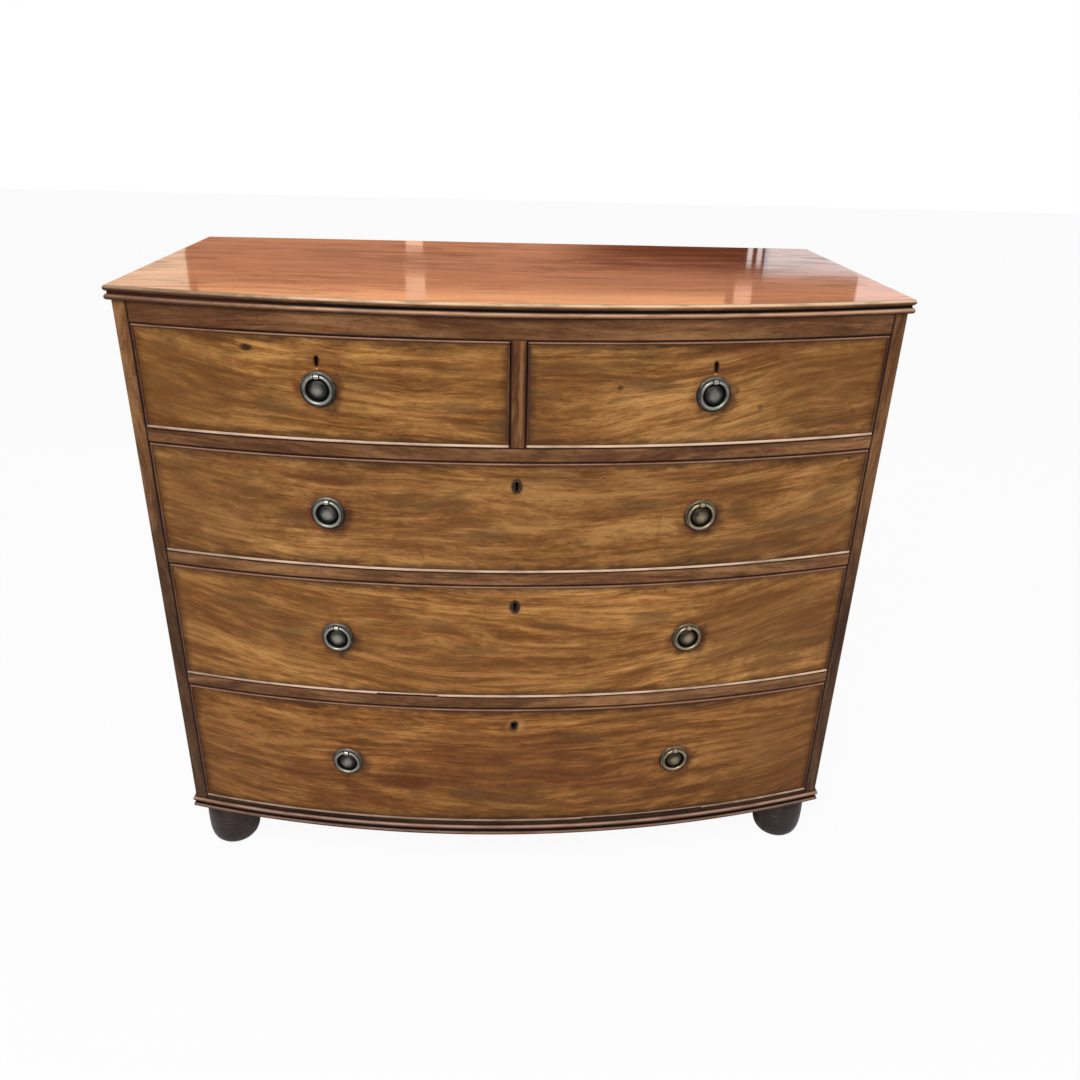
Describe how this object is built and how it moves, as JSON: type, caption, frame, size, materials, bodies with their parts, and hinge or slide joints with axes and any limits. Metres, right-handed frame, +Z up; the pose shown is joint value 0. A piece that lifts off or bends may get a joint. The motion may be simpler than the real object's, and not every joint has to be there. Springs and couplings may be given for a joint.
{
  "type": "bow front chest of drawers",
  "caption": "Mahogany bow front chest with short drawers over long graduated ones, cockbeaded fronts, ring handles, a double-reeded top and turned bun feet.",
  "frame": {"origin": "on the floor under the middle of the whole chest", "axes": "+X along the front to the right as seen from the front, +Y from the front to the back, +Z up"},
  "size_m": [1.064, 0.556, 0.95],
  "materials": {
    "mahogany_top": "french polished, red brown",
    "mahogany_front": "worn french polish, golden brown",
    "mahogany_case": "worn french polish, darker brown",
    "mahogany_moulding": "worn french polish, rubbed on the edges",
    "mahogany_bead": "worn french polish, rubbed on the edges",
    "dark_stained_wood": "dark stained and waxed",
    "pine": "old unfinished pine",
    "drawer_lining": "old unfinished oak and pine",
    "antique_brass": "darkened brass, bright where it is rubbed",
    "brass": "dull brass"
  },
  "bodies": {
    "carcase": {"top_board": "mahogany_top", "left_side": "mahogany_case", "right_side": "mahogany_case", "frieze_rail": "mahogany_case", "upper_drawer_rail": "mahogany_case", "middle_drawer_rail": "mahogany_case", "lower_drawer_rail": "mahogany_case", "bottom_rail": "mahogany_case", "base_moulding": "mahogany_moulding", "centre_divider": "mahogany_case", "runners_and_stops": "pine", "dust_boards": "pine", "case_bottom": "pine", "back_boards": "pine", "corner_blocks": "pine", "feet": "dark_stained_wood"},
    "top_left_drawer": {"top_left_drawer_front": "mahogany_front", "top_left_drawer_cockbeads": "mahogany_bead", "top_left_drawer_box": "drawer_lining", "top_left_drawer_bottom": "drawer_lining", "top_left_drawer_lock": "brass", "top_left_handle_plates": "antique_brass"},
    "top_left_lock_bolt": {"top_left_lock_bolt": "brass"},
    "top_left_ring": {"top_left_ring": "antique_brass"},
    "top_right_drawer": {"top_right_drawer_front": "mahogany_front", "top_right_drawer_cockbeads": "mahogany_bead", "top_right_drawer_box": "drawer_lining", "top_right_drawer_bottom": "drawer_lining", "top_right_drawer_lock": "brass", "top_right_handle_plates": "antique_brass"},
    "top_right_lock_bolt": {"top_right_lock_bolt": "brass"},
    "top_right_ring": {"top_right_ring": "antique_brass"},
    "upper_drawer": {"upper_drawer_front": "mahogany_front", "upper_drawer_cockbeads": "mahogany_bead", "upper_drawer_box": "drawer_lining", "upper_drawer_bottom": "drawer_lining", "upper_drawer_lock": "brass", "upper_handle_plates": "antique_brass"},
    "upper_lock_bolt": {"upper_lock_bolt": "brass"},
    "upper_left_ring": {"upper_left_ring": "antique_brass"},
    "upper_right_ring": {"upper_right_ring": "antique_brass"},
    "middle_drawer": {"middle_drawer_front": "mahogany_front", "middle_drawer_cockbeads": "mahogany_bead", "middle_drawer_box": "drawer_lining", "middle_drawer_bottom": "drawer_lining", "middle_drawer_lock": "brass", "middle_handle_plates": "antique_brass"},
    "middle_lock_bolt": {"middle_lock_bolt": "brass"},
    "middle_left_ring": {"middle_left_ring": "antique_brass"},
    "middle_right_ring": {"middle_right_ring": "antique_brass"},
    "lower_drawer": {"lower_drawer_front": "mahogany_front", "lower_drawer_cockbeads": "mahogany_bead", "lower_drawer_box": "drawer_lining", "lower_drawer_bottom": "drawer_lining", "lower_drawer_lock": "brass", "lower_handle_plates": "antique_brass"},
    "lower_lock_bolt": {"lower_lock_bolt": "brass"},
    "lower_left_ring": {"lower_left_ring": "antique_brass"},
    "lower_right_ring": {"lower_right_ring": "antique_brass"}
  },
  "joints": [
    {"name": "top_left_drawer_slide", "type": "slide", "parent": "carcase", "child": "top_left_drawer", "axis": [0, -1, 0], "range_m": [0, 0.36]},
    {"name": "top_left_lock_throw", "type": "slide", "parent": "top_left_drawer", "child": "top_left_lock_bolt", "axis": [0, 0, 1], "range_m": [0, 0.007]},
    {"name": "top_left_ring_swing", "type": "hinge", "parent": "top_left_drawer", "child": "top_left_ring", "pos_m": [-0.25859, -0.25709, 0.84947], "axis": [-0.9902, 0.1394, 0], "range_deg": [0, 95]},
    {"name": "top_right_drawer_slide", "type": "slide", "parent": "carcase", "child": "top_right_drawer", "axis": [0, -1, 0], "range_m": [0, 0.36]},
    {"name": "top_right_lock_throw", "type": "slide", "parent": "top_right_drawer", "child": "top_right_lock_bolt", "axis": [0, 0, 1], "range_m": [0, 0.007]},
    {"name": "top_right_ring_swing", "type": "hinge", "parent": "top_right_drawer", "child": "top_right_ring", "pos_m": [0.25859, -0.25709, 0.84947], "axis": [-0.9902, -0.1394, 0], "range_deg": [0, 95]},
    {"name": "upper_drawer_slide", "type": "slide", "parent": "carcase", "child": "upper_drawer", "axis": [0, -1, 0], "range_m": [0, 0.36]},
    {"name": "upper_lock_throw", "type": "slide", "parent": "upper_drawer", "child": "upper_lock_bolt", "axis": [0, 0, 1], "range_m": [0, 0.007]},
    {"name": "upper_left_ring_swing", "type": "hinge", "parent": "upper_drawer", "child": "upper_left_ring", "pos_m": [-0.25859, -0.25709, 0.67497], "axis": [-0.9902, 0.1394, 0], "range_deg": [0, 95]},
    {"name": "upper_right_ring_swing", "type": "hinge", "parent": "upper_drawer", "child": "upper_right_ring", "pos_m": [0.25859, -0.25709, 0.67497], "axis": [-0.9902, -0.1394, 0], "range_deg": [0, 95]},
    {"name": "middle_drawer_slide", "type": "slide", "parent": "carcase", "child": "middle_drawer", "axis": [0, -1, 0], "range_m": [0, 0.36]},
    {"name": "middle_lock_throw", "type": "slide", "parent": "middle_drawer", "child": "middle_lock_bolt", "axis": [0, 0, 1], "range_m": [0, 0.007]},
    {"name": "middle_left_ring_swing", "type": "hinge", "parent": "middle_drawer", "child": "middle_left_ring", "pos_m": [-0.25859, -0.25709, 0.47647], "axis": [-0.9902, 0.1394, 0], "range_deg": [0, 95]},
    {"name": "middle_right_ring_swing", "type": "hinge", "parent": "middle_drawer", "child": "middle_right_ring", "pos_m": [0.25859, -0.25709, 0.47647], "axis": [-0.9902, -0.1394, 0], "range_deg": [0, 95]},
    {"name": "lower_drawer_slide", "type": "slide", "parent": "carcase", "child": "lower_drawer", "axis": [0, -1, 0], "range_m": [0, 0.36]},
    {"name": "lower_lock_throw", "type": "slide", "parent": "lower_drawer", "child": "lower_lock_bolt", "axis": [0, 0, 1], "range_m": [0, 0.007]},
    {"name": "lower_left_ring_swing", "type": "hinge", "parent": "lower_drawer", "child": "lower_left_ring", "pos_m": [-0.25859, -0.25709, 0.25046], "axis": [-0.9902, 0.1394, 0], "range_deg": [0, 95]},
    {"name": "lower_right_ring_swing", "type": "hinge", "parent": "lower_drawer", "child": "lower_right_ring", "pos_m": [0.25859, -0.25709, 0.25046], "axis": [-0.9902, -0.1394, 0], "range_deg": [0, 95]}
  ]
}
